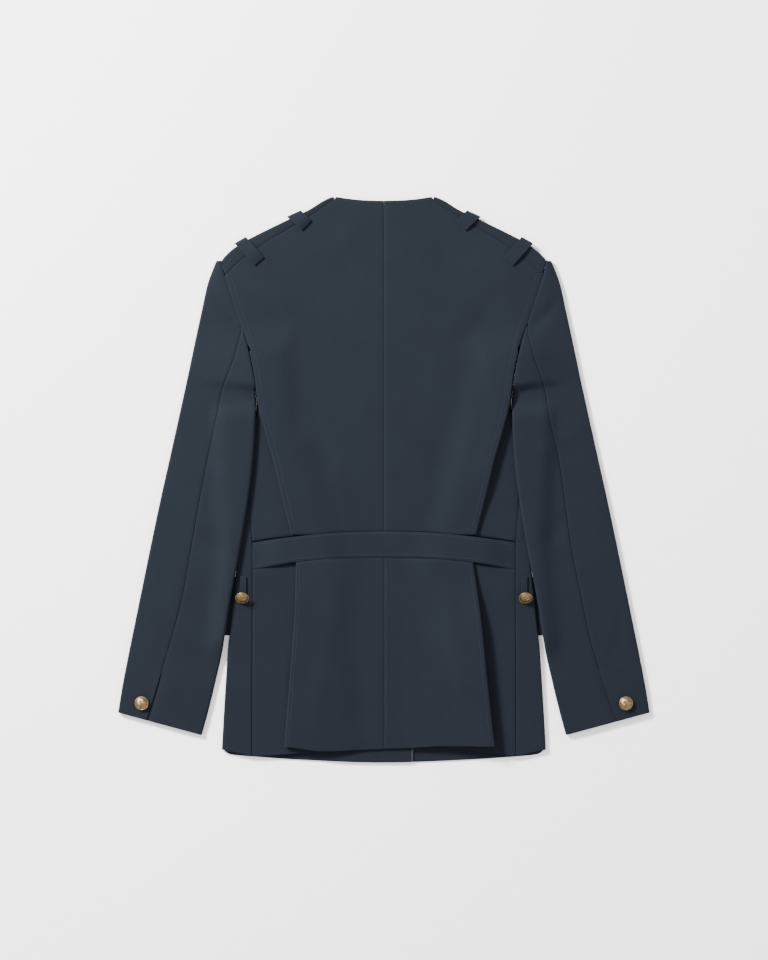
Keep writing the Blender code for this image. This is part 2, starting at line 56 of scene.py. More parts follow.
# The table is a plain matt board of one pale colour. It is only the surface that the jacket lies on,
# and takes its soft shadow.
TABLE_SIZE = 12.0
table_mesh = bpy.data.meshes.new("table")
table_shape = bmesh.new()
bmesh.ops.create_grid(table_shape, x_segments=8, y_segments=8, size=TABLE_SIZE / 2)
table_shape.to_mesh(table_mesh)
table_shape.free()
table = bpy.data.objects.new("table", table_mesh)
table.location = (0, 0, -0.0004)
bpy.context.scene.collection.objects.link(table)
board = bpy.data.materials.new("pale_board")
board.use_nodes = True
board_shader = board.node_tree.nodes["Principled BSDF"]
board_shader.inputs["Base Color"].default_value = (0.90, 0.885, 0.892, 1)
board_shader.inputs["Roughness"].default_value = 0.9
board_shader.inputs["Specular IOR Level"].default_value = 0.1
table_mesh.materials.append(board)

# Studio light: a soft box high on the upper left, a larger and weaker one on the lower right, and an
# even pale surround. The upper left box makes the shadow to the right of and below the jacket.
Softbox = namedtuple("Softbox", "name place size power")
for box in (Softbox("key", (-2.2, 2.0, 1.9), 0.7, 620), Softbox("fill", (2.6, -1.6, 3.2), 3.0, 40)):
    light_data = bpy.data.lights.new(box.name, "AREA")
    light_data.energy = box.power
    light_data.size = box.size
    light = bpy.data.objects.new(box.name, light_data)
    light.location = box.place
    light.rotation_euler = (-Vector(box.place)).to_track_quat("-Z", "Y").to_euler()
    bpy.context.scene.collection.objects.link(light)
surround = bpy.data.worlds.new("studio")
surround.use_nodes = True
surround.node_tree.nodes["Background"].inputs["Color"].default_value = (0.98, 0.98, 1.0, 1)
surround.node_tree.nodes["Background"].inputs["Strength"].default_value = 1.75
bpy.context.scene.world = surround

# The centre back: two halves of navy wool, seamed down the middle, whose outer edges are the armhole
# seams above and the folds of the action pleats below. Above the pleats a narrow seam allowance turns
# down inside the sleeve. The tables are in millimetres, out from the centre seam.
MM = 0.001
WALL = 1.8
GAP = 0.3
CLOTH = 1.55
LAYER = WALL + GAP
FLOOR = WALL / 2
SIDE = 5.4
FOLD_RADIUS = 1.3
TOP = SIDE + LAYER + 2 * FOLD_RADIUS + 0.1
RETURN = 14.0
UNDERLAY = 40.0
SAG = 4.0
OVERLAP = 35.1
PLEAT_TOP = 172.0
SEAM_REACH = 0.8
PLEAT_BLEND = 22.0
BACK_ALLOWANCE = 5.0
BACK_NECK_SHARE = 0.30
Line = namedtuple("Line", "out y")
Crease = namedtuple("Crease", "x y to_x to_y width height")
CREASE_DEPTH = 1.8
ARMHOLE = [Line(207, 266), Line(203, 256), Line(195.5, 231), Line(186, 205), Line(178, 180),
           Line(169.8, 142), Line(163.5, 98), Line(154, 61), Line(142.8, 21), Line(134.2, -16),
           Line(120.4, -71.5)]
BACK_NECK = [Line(0, 362.7), Line(26, 363.5), Line(46, 365.4), Line(62, 367.9)]
SHOULDER_SEAM = [Line(64.4, 364.6), Line(100, 340.5), Line(150, 311), Line(185, 286), Line(206.4, 266)]
SHOULDER_EDGE = [Line(66, 368.4), Line(75, 365.9), Line(82, 361.5), Line(99, 350.6), Line(120, 341),
                 Line(154, 324.6), Line(176, 313.5), Line(193, 303.6), Line(206, 293), Line(213.5, 283)]
BAND_TOP = [Line(0, -67), Line(52, -68.2), Line(93, -71.5), Line(132, -76), Line(171, -82)]
BACK_CREASES = [Crease(-150, 245, -95, 190, 26, 0.5), Crease(150, 240, 88, 170, 30, -0.5),
                Crease(-60, 20, -48, -62, 22, 0.4), Crease(70, 40, 62, -60, 24, -0.4),
                Crease(-120, 150, -105, 30, 26, -0.5), Crease(118, 130, 96, 0, 24, 0.6),
                Crease(-30, 330, -90, 300, 30, 0.4), Crease(40, 325, 110, 290, 26, -0.3)]


def smoothstep(t):
    t = min(1.0, max(0.0, t))
    return t * t * (3 - 2 * t)


def spline(points, t):
    place = min(max(t, 0.0), 1.0) * (len(points) - 1)
    i = min(int(place), len(points) - 2)
    f = place - i
    b, c = Vector(points[i]), Vector(points[i + 1])
    a = Vector(points[i - 1]) if i else b * 2 - c
    d = Vector(points[i + 2]) if i + 2 < len(points) else c * 2 - b
    return ((b * 2) + (c - a) * f + (a * 2 - b * 5 + c * 4 - d) * f ** 2
            + (b * 3 - a - c * 3 + d) * f ** 3) * 0.5


def edge(points):
    """A function of 0 to 1 that runs evenly along the smooth curve through the points."""
    fine = [spline(points, i / 300) for i in range(301)]
    run = [0.0]
    for p, q in zip(fine, fine[1:]):
        run.append(run[-1] + (q - p).length)

    def at(t):
        goal = run[-1] * min(max(t, 0.0), 1.0)
        low, high = 0, len(run) - 1
        while high - low > 1:
            mid = (low + high) // 2
            low, high = (mid, high) if run[mid] <= goal else (low, mid)
        share = (goal - run[low]) / max(run[high] - run[low], 1e-9)
        return fine[low].lerp(fine[high], share)

    at.length = run[-1]
    return at


def joined(first, second, share):
    """One edge made of two, with the corner at a share of the way."""
    return lambda t: first(t / share) if t <= share else second((t - share) / (1 - share))


def spaced(count, length, start=True, end=True):
    """Even steps from 0 to 1, with finer ones by the ends, where the cloth rolls into a seam."""
    near = [d / length for d in (0.5, 1.2, 2.2, 3.6)]
    steps = {round(i / count, 6) for i in range(count + 1)}
    inner = {s for s in steps if (s == 0 or s > near[-1] * 1.3 or not start)
             and (s == 1 or s < 1 - near[-1] * 1.3 or not end)}
    return sorted(inner | (set(near) if start else set()) | ({1 - d for d in near} if end else set()))


def out_at(line, y):
    rows = sorted(line, key=lambda row: row.y)
    if y <= rows[0].y:
        return rows[0].out
    for low, high in zip(rows, rows[1:]):
        if y <= high.y:
            return low.out + (high.out - low.out) * (y - low.y) / (high.y - low.y)
    return rows[-1].out


def shoulder_y(out):
    return out_at([Line(y, x) for x, y in SHOULDER_EDGE], out)


def fill(bottom, top, left, right, across, up):
    """Rows of points between four edges, at the given steps across and up."""
    c00, c10, c01, c11 = bottom(0), bottom(1), top(0), top(1)
    grid = []
    for v in up:
        row = []
        for u in across:
            corners = (c00 * (1 - u) + c10 * u) * (1 - v) + (c01 * (1 - u) + c11 * u) * v
            row.append(bottom(u) * (1 - v) + top(u) * v + left(v) * (1 - u) + right(v) * u - corners)
        grid.append(row)
    return grid


def creased(creases, x, y):
    """Soft ridges, or troughs where the height is below zero, that fade out at both ends."""
    total = 0.0
    for c in creases:
        along = Vector((c.to_x - c.x, c.to_y - c.y))
        length = along.length
        offset = Vector((x - c.x, y - c.y))
        t = offset.dot(along) / length ** 2
        if -0.3 < t < 1.3:
            wander = 0.18 * c.width * math.sin(5.1 * t + c.width)
            side = (along.x * offset.y - along.y * offset.x) / length - wander
            fade = smoothstep((t + 0.25) / 0.5) * smoothstep((1.25 - t) / 0.5)
            total += CREASE_DEPTH * c.height * fade * math.exp(-(side / c.width * 2) ** 2)
    return total


def seam_dip(distance):
    """How far the cloth rolls down into a seam at a distance from it."""
    return -0.55 * (1 - smoothstep(distance / 3.0))


def top_height(side, out, y):
    pad = 2.4 * smoothstep(1 - math.hypot(out - 178, y - 262) / 105)
    action = 4.5 if side > 0 else 1.6
    reach = out_at(ARMHOLE, y) - out
    sag = SAG * max(smoothstep((reach - 30) / 45), smoothstep((y - 150) / 60))
    lift = action * smoothstep(1 - reach / 60) * smoothstep((y + 60) / 80) * smoothstep((215 - y) / 60)
    return TOP + pad + lift - sag


def turned_under(points):
    inward = (points[-2] - points[-1]).normalized()
    middle = points[-1] - Vector((0, 0, FOLD_RADIUS))
    rolled = [middle - inward * FOLD_RADIUS * math.sin(a) + Vector((0, 0, FOLD_RADIUS * math.cos(a)))
              for a in (math.pi * k / 8 for k in range(1, 9))]
    return rolled + [rolled[-1] + inward * RETURN * k / 3 for k in (1, 2, 3)]


def navy_wool():
    """Fine navy twill: a diagonal weave, a slight nap with a cool sheen, and faint mottling."""
    cloth = bpy.data.materials.new("navy_wool_twill")
    cloth.use_nodes = True
    nodes, links = cloth.node_tree.nodes, cloth.node_tree.links
    shader = nodes["Principled BSDF"]
    shader.inputs["Roughness"].default_value = 0.82
    shader.inputs["Specular IOR Level"].default_value = 0.08
    shader.inputs["Sheen Weight"].default_value = 0.05
    shader.inputs["Sheen Roughness"].default_value = 0.5
    shader.inputs["Sheen Tint"].default_value = (0.62, 0.72, 0.95, 1)
    place = nodes.new("ShaderNodeTexCoord")
    mottle = nodes.new("ShaderNodeTexNoise")
    mottle.inputs["Scale"].default_value = 26
    mottle.inputs["Detail"].default_value = 5
    fibre = nodes.new("ShaderNodeTexNoise")
    fibre.inputs["Scale"].default_value = 900
    fibre.inputs["Detail"].default_value = 3
    turned = nodes.new("ShaderNodeMapping")
    turned.inputs["Rotation"].default_value = (0, 0, math.radians(58))
    weave = nodes.new("ShaderNodeTexWave")
    weave.inputs["Scale"].default_value = 240
    weave.inputs["Distortion"].default_value = 1.2
    weave.inputs["Detail"].default_value = 2
    colour = nodes.new("ShaderNodeValToRGB")
    colour.color_ramp.elements[0].position = 0.25
    colour.color_ramp.elements[0].color = (0.0034, 0.0049, 0.0078, 1)
    colour.color_ramp.elements[1].position = 0.8
    colour.color_ramp.elements[1].color = (0.0047, 0.0066, 0.0102, 1)
    blend = nodes.new("ShaderNodeMix")
    blend.inputs["Factor"].default_value = 0.45
    sum_height = nodes.new("ShaderNodeMath")
    sum_height.operation = "MULTIPLY_ADD"
    sum_height.inputs[1].default_value = 0.7
    bump = nodes.new("ShaderNodeBump")
    bump.inputs["Strength"].default_value = 0.35
    bump.inputs["Distance"].default_value = 0.0004
    for node in (mottle, fibre, turned):
        links.new(place.outputs["Object"], node.inputs["Vector"])
    links.new(turned.outputs["Vector"], weave.inputs["Vector"])
    links.new(mottle.outputs["Fac"], blend.inputs["A"])
    links.new(fibre.outputs["Fac"], blend.inputs["B"])
    links.new(blend.outputs["Result"], colour.inputs["Fac"])
    links.new(colour.outputs["Color"], shader.inputs["Base Color"])
    links.new(weave.outputs["Fac"], sum_height.inputs[0])
    links.new(fibre.outputs["Fac"], sum_height.inputs[2])
    links.new(sum_height.outputs["Value"], bump.inputs["Height"])
    links.new(bump.outputs["Normal"], shader.inputs["Normal"])
    return cloth


NAVY = navy_wool()


def sewn_panel(name, grid, node, finish=NAVY, keep=lambda i, j: True):
    """A cloth piece through rows of points, thickened, with rounded edges, in place of its solid."""
    shape = bmesh.new()
    made = {}
    area = 0.0

    def corner(j, i):
        if (j, i) not in made:
            made[j, i] = shape.verts.new(Vector(grid[j][i]) * MM)
        return made[j, i]

    for j in range(len(grid) - 1):
        for i in range(len(grid[0]) - 1):
            if keep(i, j):
                square = (corner(j, i), corner(j, i + 1), corner(j + 1, i + 1), corner(j + 1, i))
                face = shape.faces.new(square)
                area += face.calc_area()
    bmesh.ops.recalc_face_normals(shape, faces=shape.faces)
    for face in shape.faces:
        face.smooth = True
    mesh = bpy.data.meshes.new(name)
    shape.to_mesh(mesh)
    shape.free()
    mesh.materials.append(finish)
    piece = bpy.data.objects.new(name, mesh)
    bpy.context.scene.collection.objects.link(piece)
    thick = piece.modifiers.new("wall", "SOLIDIFY")
    thick.thickness = CLOTH * MM
    thick.offset = 0
    thick.use_even_offset = True
    soft = piece.modifiers.new("soft", "SUBSURF")
    soft.levels = soft.render_levels = 1
    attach(piece, "root")
    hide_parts(node)
    return piece


def hand(side):
    return "left" if side < 0 else "right"


def back_panel(side):
    inset = FOLD_RADIUS + WALL / 2
    fold = []
    for row in reversed(ARMHOLE):
        above = smoothstep((row.y - PLEAT_TOP) / PLEAT_BLEND)
        fold.append(Line(row.out - inset + (inset + SEAM_REACH) * above, row.y))
    fold[-1] = Line(*SHOULDER_SEAM[-1])
    foot = [Line(p.out, p.y + GAP) for p in BAND_TOP[:3]] + [fold[0]]
    bottom, right = edge(foot), edge(fold)
    top = joined(edge(BACK_NECK), edge(SHOULDER_SEAM), BACK_NECK_SHARE)
    left = edge([Line(0, foot[0].y), Line(0, BACK_NECK[0].y)])
    across, up = spaced(34, 200), spaced(64, 430)
    across = sorted(set(across) | {BACK_NECK_SHARE - 0.0001, BACK_NECK_SHARE + 0.0001})
    grid = []
    for v, row in zip(up, fill(bottom, top, left, right, across, up)):
        points = []
        for u, p in zip(across, row):
            z = top_height(side, p.x, p.y) + creased(BACK_CREASES, side * p.x, p.y)
            z += seam_dip(u * 200) + seam_dip(v * 430) + 0.6 * seam_dip((1 - v) * 430)
            if right(v).y > PLEAT_TOP:
                z += seam_dip((1 - u) * 200)
            points.append(Vector((side * max(p.x, 0.0), p.y, z)))
        if right(v).y < PLEAT_TOP:
            grid.append(points + turned_under(points))
        else:
            allowance = [points[-1] + Vector((side * step, 0, -1.1 - 0.25 * step))
                         for step in (SEAM_REACH, BACK_ALLOWANCE)]
            grid.append(points + allowance + [allowance[-1]] * 9)
    seam = len(across) - 1
    pleat_rows = sum(1 for v in up if right(v).y < PLEAT_TOP)
    sewn_panel("wool_back_" + hand(side), grid, "back_" + hand(side),
               keep=lambda i, j: i < seam or j < pleat_rows - 1 or (j >= pleat_rows and i < seam + 2))


for side in (-1, 1):
    back_panel(side)

# The side backs: a piece each side of navy wool, from under the action pleat to the side seam. Their
# upper edges are the low part of the armhole, under the sleeve.
SIDE_FOLD = [Line(211.2, -352), Line(208, -294), Line(205, -248), Line(203, -217), Line(200.8, -201),
             Line(196, -157), Line(192, -118), Line(190.5, -85), Line(191.7, -40), Line(195, 12),
             Line(196.5, 58)]
SIDE_SEAM = [Line(171.6, -360), Line(171.3, -222), Line(171.2, -117), Line(171.6, -80), Line(178.7, 0),
             Line(188, 58)]
SIDE_BACK_TOP = [Line(148, 110), Line(158, 112), Line(164.6, 102), Line(165.6, 88), Line(169.5, 76),
                 Line(177, 66), Line(188 - GAP / 2, 58)]
for side in (-1, 1):
    inner = edge([Line(out_at(ARMHOLE, y) - UNDERLAY * 0.55, y) for y in (-72, -16, 40, 80, 110)])
    outer = edge([Line(row.out - GAP / 2, row.y) for row in SIDE_SEAM[3:]])
    bottom = edge([inner(0), Line(132, -75.4), Line(outer(0).x, -81.5)])
    top = edge(SIDE_BACK_TOP)
    across, up = spaced(28, 90), spaced(36, 180)
    grid = [[Vector((side * p.x, p.y, SIDE + seam_dip((1 - u) * 60) + seam_dip(v * 180)))
             for u, p in zip(across, row)] for v, row in zip(up, fill(bottom, top, inner, outer, across, up))]
    sewn_panel("wool_side_back_" + hand(side), grid, "side_back_" + hand(side))

# The waistband: one strip of the same wool let in across the back from side seam to side seam, with
# a row of stitching close to each long edge.
BAND_FOOT = [Line(0, -101.4), Line(68, -103), Line(116, -107.5), Line(146, -112.5), Line(171, -118)]


def band_height(out):
    return SIDE + (TOP - SIDE) * smoothstep((170 - out) / 42) - SAG * smoothstep((82 - out) / 45)


head, foot = edge(BAND_TOP), edge(BAND_FOOT)
band_across = [-t for t in reversed(spaced(34, 171, start=False))] + spaced(34, 171, start=False)[1:]
band_up = spaced(8, 35)
grid = []
for v in band_up:
    row = []
    for t in band_across:
        p = head(abs(t)).lerp(foot(abs(t)), v)
        out = min(p.x, 171 - 2 * GAP)
        z = band_height(out) + seam_dip(v * 35) + seam_dip((1 - v) * 35) + seam_dip((1 - abs(t)) * 171) + 0.15
        row.append(Vector((math.copysign(out, t), p.y - GAP / 2 + GAP * v, z)))
    grid.append(row)
sewn_panel("wool_waistband", grid, "waistband")

# The back skirt: two halves below the waistband whose outer edges are folded under as pleats. The
# right pleat stands open, the left one is nearly shut.
SKIRT_FOLD = {-1: [Line(114.4, -107), Line(116.4, -180), Line(122.5, -261), Line(129.6, -347)],
              1: [Line(116.5, -107.5), Line(125.6, -174), Line(131, -225), Line(134.5, -261),
                  Line(143.9, -346)]}
BACK_HEM = {-1: [Line(0, -350.3), Line(40, -352), Line(83, -352.8), Line(129.6, -347)],
            1: [Line(0, -350.3), Line(32, -349.2), Line(75, -346.4), Line(143.9, -346)]}
SKIRT_CREASES = [Crease(-70, -150, -84, -330, 26, 0.5), Crease(-40, -140, -34, -330, 22, -0.4),
                 Crease(45, -150, 58, -330, 26, -0.5), Crease(84, -135, 100, -300, 22, 0.6)]


def skirt_height(side, out, y):
    opening = 9.0 if side > 0 else 1.4
    reach = out_at(SKIRT_FOLD[side], y) - out
    sag = SAG * smoothstep((70 - out) / 50)
    return TOP - sag + opening * smoothstep(1 - reach / 75) * smoothstep((-110 - y) / 95)


for side in (-1, 1):
    inset = FOLD_RADIUS + WALL / 2
    right = edge([Line(row.out - inset, row.y) for row in reversed(SKIRT_FOLD[side])])
    bottom = edge([Vector((p.out - inset * p.out / 130, p.y)) for p in BACK_HEM[side]])
    top = edge([Line(0, -101.4 - GAP), Line(68, -103.3 - GAP), Line(right(1).x, -107.8 - GAP)])
    left = edge([Line(0, BACK_HEM[side][0].y), Line(0, -101.4 - GAP)])
    across, up = spaced(24, 125, end=False), spaced(44, 245)
    grid = []
    for v, row in zip(up, fill(bottom, top, left, right, across, up)):
        points = []
        for u, p in zip(across, row):
            z = skirt_height(side, p.x, p.y) + creased(SKIRT_CREASES, side * p.x, p.y)
            z += seam_dip(u * 125) + seam_dip((1 - v) * 245)
            points.append(Vector((side * max(p.x, 0.0), p.y, z)))
        grid.append(points + turned_under(points))
    sewn_panel("wool_skirt_back_" + hand(side), grid, "skirt_back_" + hand(side))

# The skirt's side pieces: they start under the pleats and run out to the side seams. Their hems show
# below the centre hem where the pleats part.
SIDE_HEM = {-1: [Line(83, -353.6), Line(132, -357.8), Line(171.6, -360)],
            1: [Line(75, -346.2), Line(132, -355), Line(171.6, -360)]}
for side in (-1, 1):
    inner_top = SKIRT_FOLD[side][0].out - UNDERLAY
    bottom = edge([Line(p.out - GAP / 2, p.y) for p in SIDE_HEM[side]])
    top = edge([Line(inner_top, -103.8 - GAP), Line(116, -107.8 - GAP), Line(146, -112.8 - GAP),
                Line(171.2 - GAP / 2, -118 - GAP)])
    outer = edge([Line(row.out - GAP / 2, row.y) for row in SIDE_SEAM[:3]])
    inner = edge([bottom(0), top(0)])
    across, up = spaced(18, 95), spaced(40, 245)
    grid = [[Vector((side * p.x, p.y, SIDE + seam_dip((1 - u) * 95) + seam_dip((1 - v) * 245)))
             for u, p in zip(across, row)] for v, row in zip(up, fill(bottom, top, inner, outer, across, up))]
    sewn_panel("wool_skirt_side_" + hand(side), grid, "skirt_side_" + hand(side))

# The fronts: they lie face down on the table, the left one lapped over the right, and roll round the
# sides to the side seams and over the shoulders to the shoulder seams.
FRONT_NECK = [Line(-OVERLAP, 232), Line(0, 262), Line(40, 303), Line(60, 345), Line(66, 368.4)]
FRONT_ARMHOLE = [Line(196.5, 58), Line(182, 62), Line(167, 74), Line(160.5, 98), Line(166, 142),
                 Line(175, 180), Line(192.5, 231), Line(203, 262), Line(213.5, 283)]
FRONT_HEM = [Line(-OVERLAP, -368.2), Line(0, -368.6), Line(36, -368.2), Line(68, -367), Line(99, -365.6),
             Line(130, -363.9), Line(161, -361.8), Line(195, -359), Line(207, -356.5), Line(211.2, -352)]
CHEST_Y = 58.0
FRONT_ALLOWANCE = 6.0
ALLOWANCE_TOP = 284.0
NECK_SHARE = 0.455


def front_height(side, out, y):
    rise = smoothstep((y - shoulder_y(out) + 92) / 26) * smoothstep((out - 40) / 25)
    over_flap = smoothstep((out - 44) / 26) * smoothstep((-58 - y) / 24) * smoothstep((y + 272) / 24)
    rise = max(rise, over_flap)
    if side < 0:
        rise = max(rise, min(1.0, max(0.0, (85 - out) / 30)))
    return FLOOR + LAYER * rise


def front_panel(side):
    low, high, arc = 44, 26, 8
    side_line = edge([Line(row.out - WALL / 2, row.y) for row in SIDE_FOLD])
    chest = edge([Line(-OVERLAP, CHEST_Y), Line(side_line(1).x, CHEST_Y)])
    across = spaced(30, 245, end=False)
    across = sorted(set(across) | {NECK_SHARE - 0.0001, NECK_SHARE + 0.0001})
    neck_steps = sum(1 for u in across if u < NECK_SHARE)
    low_steps = [0.0, 0.003, 0.008] + [k / low for k in range(1, low + 1)]
    lower = fill(edge(FRONT_HEM), chest, edge([Line(-OVERLAP, -368.2), Line(-OVERLAP, CHEST_Y)]), side_line,
                 across, low_steps)
    top = joined(edge(FRONT_NECK), edge(SHOULDER_EDGE), NECK_SHARE)
    armhole = edge([Line(row.out - WALL / 2, row.y) for row in FRONT_ARMHOLE])
    upper = fill(chest, top, edge([Line(-OVERLAP, CHEST_Y), Line(-OVERLAP, 232)]), armhole,
                 across, [k / high for k in range(high + 1)])
    rows = lower + upper[1:]
    grid = [[Vector((side * p.x, p.y, front_height(side, p.x, p.y))) for p in row] for row in rows]
    seam = edge([Line(row.out + GAP, row.y) for row in SIDE_SEAM])
    flat = (0.25, 0.5, 0.75, 0.9, 0.96, 1.0)
    low_count = len(low_steps) - 1
    for j, row in enumerate(grid):
        last = row[-1]
        if j > low_count:
            reach = FRONT_ALLOWANCE * smoothstep((ALLOWANCE_TOP - last.y) / 12)
            allowance = [last + Vector((side * reach * t, 0, 2.2 * smoothstep(t * 2))) for t in (0.35, 1.0)]
            row.extend(allowance + [allowance[-1]] * (arc + len(flat) - 2))
            continue
        radius = (SIDE - last.z) / 2
        centre = Vector((last.x - side * radius, last.y, last.z + radius))
        row[-1] = Vector((centre.x, last.y, last.z))
        for k in range(1, arc + 1):
            a = math.pi * k / arc
            row.append(centre + Vector((side * radius * math.sin(a), 0, -radius * math.cos(a))))
        rolled = row[-1]
        p = seam(low_steps[j])
        goal = Vector((side * p.x, p.y, SIDE))
        for t in flat:
            point = rolled.lerp(goal, t)
            point.z += seam_dip((1 - t) * (goal - rolled).length)
            row.append(point)
    outline = [p.copy() for p in grid[-1]]
    roll = [[p.copy() for p in outline] for k in range(arc + len(flat))]
    start = [p.copy() for p in outline]
    last_column = len(across) - 1
    target_line = edge(SHOULDER_SEAM)
    for i in range(neck_steps, last_column + 1):
        share = (across[i] - NECK_SHARE) / (1 - NECK_SHARE)
        target = target_line(max(0.0, share))
        away = Vector((side * 0.50, 0.866, 0))
        out = abs(outline[i].x)
        height = top_height(side, out, outline[i].y - 6)
        radius = (height - outline[i].z) / 2
        centre = outline[i] - away * (radius + WALL / 2) + Vector((0, 0, radius))
        start[i] = Vector((centre.x, centre.y, outline[i].z))
        for k in range(1, arc + 1):
            a = math.pi * k / arc
            roll[k - 1][i] = centre + away * radius * math.sin(a) - Vector((0, 0, radius * math.cos(a)))
        goal = Vector((side * target.x, target.y + 0.4, top_height(side, target.x, target.y)))
        for k, t in enumerate(flat):
            point = roll[arc - 1][i].lerp(goal, t)
            point.z += 0.8 * seam_dip((1 - t) * (goal - roll[arc - 1][i]).length)
            roll[arc + k][i] = point
    body_rows = len(rows) - 1
    grid[-1] = start
    grid += roll
    sewn_panel("wool_front_" + hand(side), grid, "front_" + hand(side),
               keep=lambda i, j: (j < low_count or i < last_column
                                  or (i < last_column + 2 and low_count < j < body_rows - 1))
               and (j < body_rows or neck_steps <= i < last_column))


for side in (-1, 1):
    front_panel(side)

# The sleeves: a top and an under sleeve each side, seamed from the back of the armhole to the cuff's
# vent. Each rung of the ladder runs from the sleeve's outer to its inner edge, shoulder first.
Rung = namedtuple("Rung", "outer_x outer_y inner_x inner_y thick seam_left seam_right")
SLEEVE = [Rung(218.2, 284.4, 211.4, 284.6, 5.2, 1, 1), Rung(225.2, 267.2, 207.2, 266.4, 5.4, 1, 1),
          Rung(230.4, 251.6, 201.6, 247.7, 5.6, 1, 1), Rung(237.2, 220.3, 191.4, 216.5, 5.8, 1, 1),
          Rung(245.4, 182.7, 178.6, 177.5, 5.8, .83, .83), Rung(255.8, 133.2, 167.6, 121.5, 5.8, .55, .56),
          Rung(266.9, 82.5, 166.8, 73.5, 5.8, .483, .517), Rung(278.7, 29.2, 170.8, 15.0, 5.8, .448, .47),
          Rung(290.8, -24.7, 178.9, -44.9, 5.8, .443, .49),
          Rung(302.5, -80.0, 189.2, -104.7, 5.8, .452, .513),
          Rung(314.2, -137.2, 200.6, -164.5, 5.8, .461, .51),
          Rung(324.6, -187.8, 208.7, -217.1, 5.6, .43, .497),
          Rung(333.2, -230.1, 217.8, -258.1, 5.4, .40, .472),
          Rung(340.3, -267.2, 228.2, -300.9, 5.2, .374, .436),
          Rung(346.2, -303.2, 236.9, -332.8, 5.0, .34, .381)]
SLEEVE_CREASES = [Crease(-219, 240, -187, 194, 11, -1.0), Crease(222, 232, 192, 190, 13, -0.7),
                  Crease(-262, 60, -215, 20, 20, -0.5), Crease(255, 70, 205, 30, 20, 0.5),
                  Crease(-240, -70, -205, -95, 16, -0.6), Crease(236, -50, 200, -90, 18, -0.5),
                  Crease(-300, -120, -262, -150, 18, 0.4), Crease(290, -90, 250, -130, 20, 0.4),
                  Crease(-292, -215, -262, -290, 16, -0.4), Crease(318, -160, 296, -230, 16, -0.4)]
CAP_RUNGS = 5
FIRST_UNDER = 3.5
UNDER_SEAM = 0.55
EDGE_SHARE = 0.7
VENT_TOP = 12.15
VENT_LAP = 6.0


def spline_rung(place):
    last = len(SLEEVE) - 1
    return Rung(*(spline([(v, 0) for v in column], place / last).x for column in zip(*SLEEVE)))


def sleeve_rest(out, y):
    beside = smoothstep(1 - (out - out_at(SIDE_FOLD, y) - 7) / 26)
    ends = smoothstep((105 - y) / 24) * smoothstep((y + 240) / 36)
    return (SIDE + WALL / 2 + GAP + 0.2) * beside * ends


def sleeve_point(side, place, rung, turn):
    """A point of the sleeve: turn is 0 at the outer edge and pi at the inner one, on the back."""
    share = (1 - math.cos(turn)) / 2
    inset = WALL / 2
    unit = Vector((rung.inner_x - rung.outer_x, rung.inner_y - rung.outer_y)).normalized()
    open_cap = place <= CAP_RUNGS
    start = Vector((rung.outer_x, rung.outer_y)) + unit * inset
    end = Vector((rung.inner_x, rung.inner_y)) - unit * (0.0 if open_cap else inset)
    p = start.lerp(end, share)
    low = FLOOR + sleeve_rest(p.x, p.y)
    thick = rung.thick
    if open_cap:
        near = smoothstep(share)
        low += near * (front_height(side, end.x, end.y) - FLOOR)
        thick = rung.thick * (1 - near) + (top_height(side, end.x, end.y) - low) * near
    from_edge = share if share < 0.5 else 1 - share
    rounding = thick / 2 * EDGE_SHARE
    reach = min(1.0, from_edge * (end - start).length / rounding)
    fullness = math.sqrt(1 - (1 - reach) ** 2) * (EDGE_SHARE + (1 - EDGE_SHARE) * abs(math.sin(turn)))
    if open_cap and share > 0.5:
        fullness = 1.0
    above = math.sin(turn) >= -1e-9 and turn <= math.pi + 1e-9
    z = low + thick / 2 + (1 if above else -1) * fullness * thick / 2
    if above:
        soft = smoothstep(from_edge * 6) if not open_cap else smoothstep(share * 6)
        z += creased(SLEEVE_CREASES, side * p.x, p.y) * soft
    return Vector((side * p.x, p.y, z))


def seam_turn(share):
    return math.acos(1 - 2 * min(1.0, max(0.0, share)))


def top_seam(side, place, rung):
    if place < FIRST_UNDER:
        return 1.0
    seam = rung.seam_left if side < 0 else rung.seam_right
    return 0.96 + (seam - 0.96) * smoothstep((place - FIRST_UNDER) / 0.5)


def hidden_seam(place):
    return UNDER_SEAM + (1 - UNDER_SEAM) * smoothstep((6 - place) / 2)


def eased(count):
    """Steps from 0 to 1, finer at both ends, for the rounded edges of the sleeve."""
    return [(1 - math.cos(math.pi * k / count)) / 2 for k in range(count + 1)]


UNDER_STEPS = 18
RUNGS = sorted({round(k / 8, 4) for k in range(113)} | {13.97, 13.99, 0.03})


